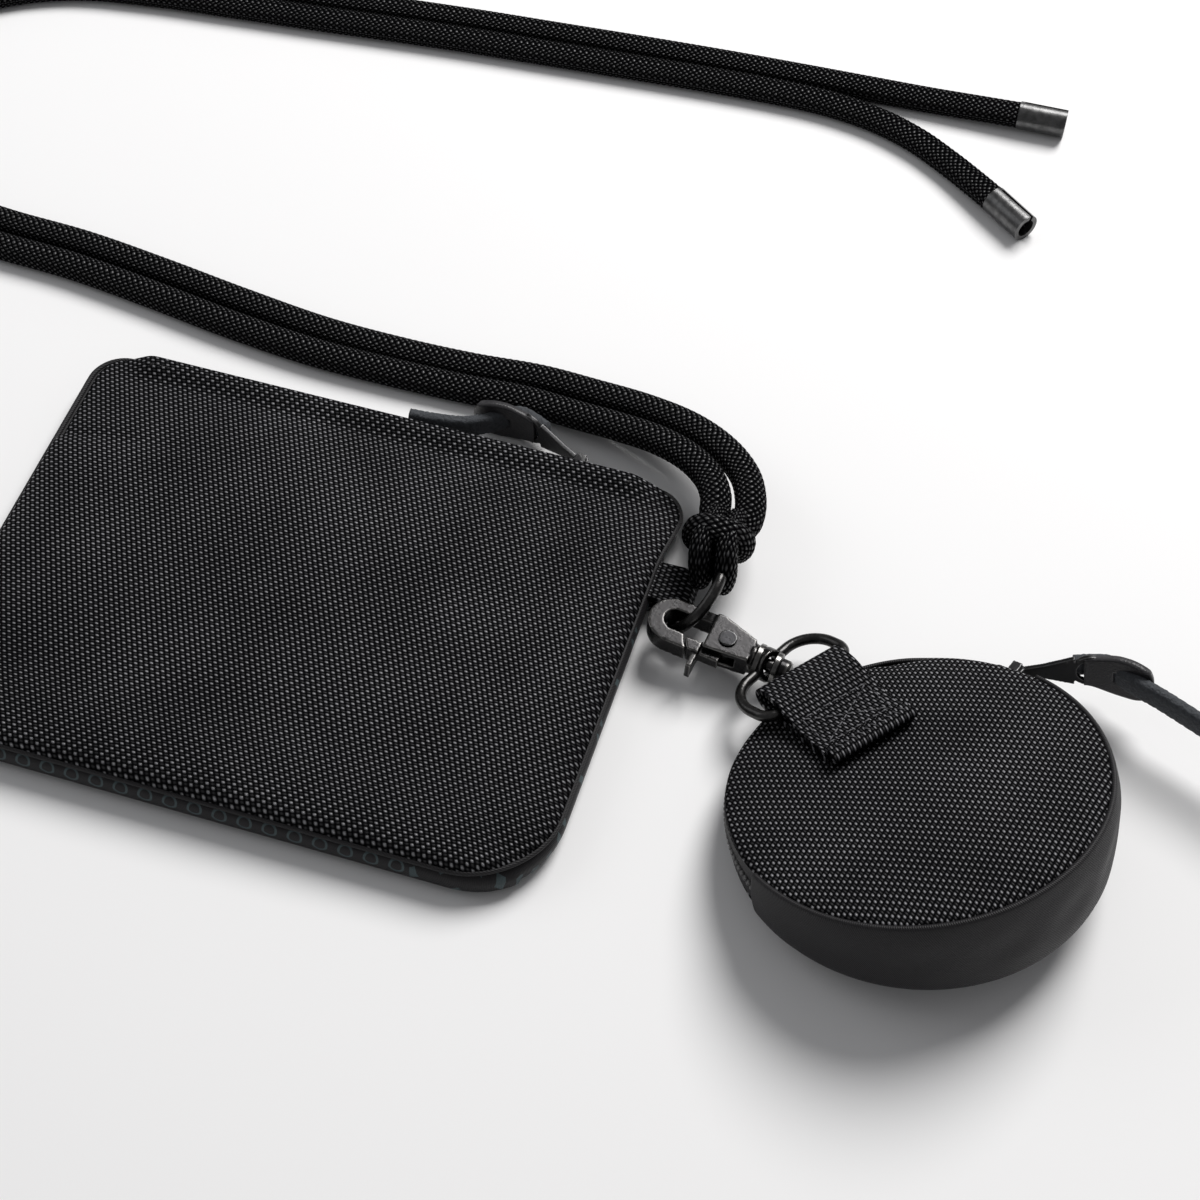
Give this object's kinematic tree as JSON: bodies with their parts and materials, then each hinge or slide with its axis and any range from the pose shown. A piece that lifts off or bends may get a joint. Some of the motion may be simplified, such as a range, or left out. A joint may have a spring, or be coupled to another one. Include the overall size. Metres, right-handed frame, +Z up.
{
  "type": "neck pouch wallet",
  "caption": "Flat zipped neck pouch with a doubled cord tied to its side ring and a round zipped coin pouch hung from the ring by a swivel trigger snap.",
  "frame": {"origin": "centre of the main pouch's underside, on the table", "axes": "+X towards the side ring, +Y towards the zip, +Z up out of the table"},
  "size_m": [0.3646, 0.2344, 0.0284],
  "materials": {
    "ballistic_nylon": "coarse woven nylon, faint sheen",
    "black_twill": "fine smooth twill",
    "lining": "thin plain weave",
    "zip_tape": "herringbone tape",
    "coil": "dark nylon coil",
    "gunmetal": "dark plated, bright worn edges",
    "dark_steel": "dark steel",
    "spring_steel": "bright wire",
    "leather": "black, fuzzy grey cut edges",
    "webbing": "ribbed webbing",
    "cord": "flat tubular braid"
  },
  "bodies": {
    "pouch": {"front_panel": "ballistic_nylon", "back_panel": "black_twill", "pocket_lining": "lining", "zip_tapes": "zip_tape", "zip_coil": "coil", "zip_stops": "gunmetal", "side_loop": "webbing", "cord_tail_a": "cord", "cord_tail_b": "cord", "cord_tip_a": "gunmetal", "cord_tip_b": "gunmetal"},
    "zip_slider": {"zip_slider": "gunmetal"},
    "zip_pull_plate": {"zip_pull_plate": "gunmetal"},
    "zip_leather_pull": {"zip_leather_pull": "leather"},
    "ring": {"d_ring": "gunmetal", "cord_knot": "cord"},
    "hook": {"hook_body": "gunmetal", "gate_rivet": "dark_steel", "gate_spring": "spring_steel", "swivel_stud": "gunmetal"},
    "gate": {"hook_gate": "gunmetal"},
    "eye": {"swivel_eye": "gunmetal"},
    "coin_pouch": {"coin_top_panel": "ballistic_nylon", "coin_bottom_panel": "ballistic_nylon", "coin_gusset": "black_twill", "coin_zip_tapes": "zip_tape", "coin_zip_coil": "coil", "coin_tab": "webbing"},
    "coin_slider": {"coin_zip_slider": "gunmetal"},
    "coin_pull_plate": {"coin_pull_plate": "gunmetal"},
    "coin_leather_pull": {"coin_leather_pull": "leather"}
  },
  "joints": [
    {"name": "zip_slide", "type": "slide", "parent": "pouch", "child": "zip_slider", "axis": [-1, 0, 0], "range_m": [0, 0.086]},
    {"name": "zip_pull_swing", "type": "hinge", "parent": "zip_slider", "child": "zip_pull_plate", "pos_m": [0.041, 0.0513, 0.005], "axis": [0, 0, 1], "range_deg": [-1.5, 1]},
    {"name": "zip_leather_swing", "type": "hinge", "parent": "zip_pull_plate", "child": "zip_leather_pull", "pos_m": [0.02821, 0.05699, 0.005], "axis": [-0.4067, -0.9135, 0], "range_deg": [-30, 4]},
    {"name": "ring_swing", "type": "hinge", "parent": "pouch", "child": "ring", "pos_m": [0.0703, 0.025, 0.0032], "axis": [0, -1, 0], "range_deg": [-30, 20]},
    {"name": "hook_yaw", "type": "hinge", "parent": "ring", "child": "hook", "pos_m": [0.07303, 0.0168, 0.0071], "axis": [0, 0, 1], "range_deg": [-8, 20]},
    {"name": "gate_open", "type": "hinge", "parent": "hook", "child": "gate", "pos_m": [0.08219, 0.01525, 0.0062], "axis": [-0.0692, 0.0085, -0.9976], "range_deg": [0, 13], "stiffness_Nm_per_rad": 0.002, "springref_deg": -20.05},
    {"name": "eye_swivel", "type": "hinge", "parent": "hook", "child": "eye", "pos_m": [0.09078, 0.01399, 0.0056], "axis": [0.9901, -0.1216, -0.0698], "range_deg": [-60, 60]},
    {"name": "coin_swing", "type": "hinge", "parent": "eye", "child": "coin_pouch", "pos_m": [0.1003, 0.00971, 0.00907], "axis": [-0.4329, -0.898, 0.0788], "range_deg": [-15, 90]},
    {"name": "coin_zip_slide", "type": "hinge", "parent": "coin_pouch", "child": "coin_slider", "pos_m": [0.1255, -0.0107, 0.01048], "axis": [-0.1748, 0.1416, 0.9744], "range_deg": [0, 38]},
    {"name": "coin_pull_swing", "type": "hinge", "parent": "coin_slider", "child": "coin_pull_plate", "pos_m": [0.13698, 0.02569, 0.00726], "axis": [-0.1748, 0.1416, 0.9744], "range_deg": [-20, 30]},
    {"name": "coin_leather_swing", "type": "hinge", "parent": "coin_pull_plate", "child": "coin_leather_pull", "pos_m": [0.15045, 0.02898, 0.0092], "axis": [-0.2093, 0.9617, -0.1773], "range_deg": [-30, 1]}
  ]
}
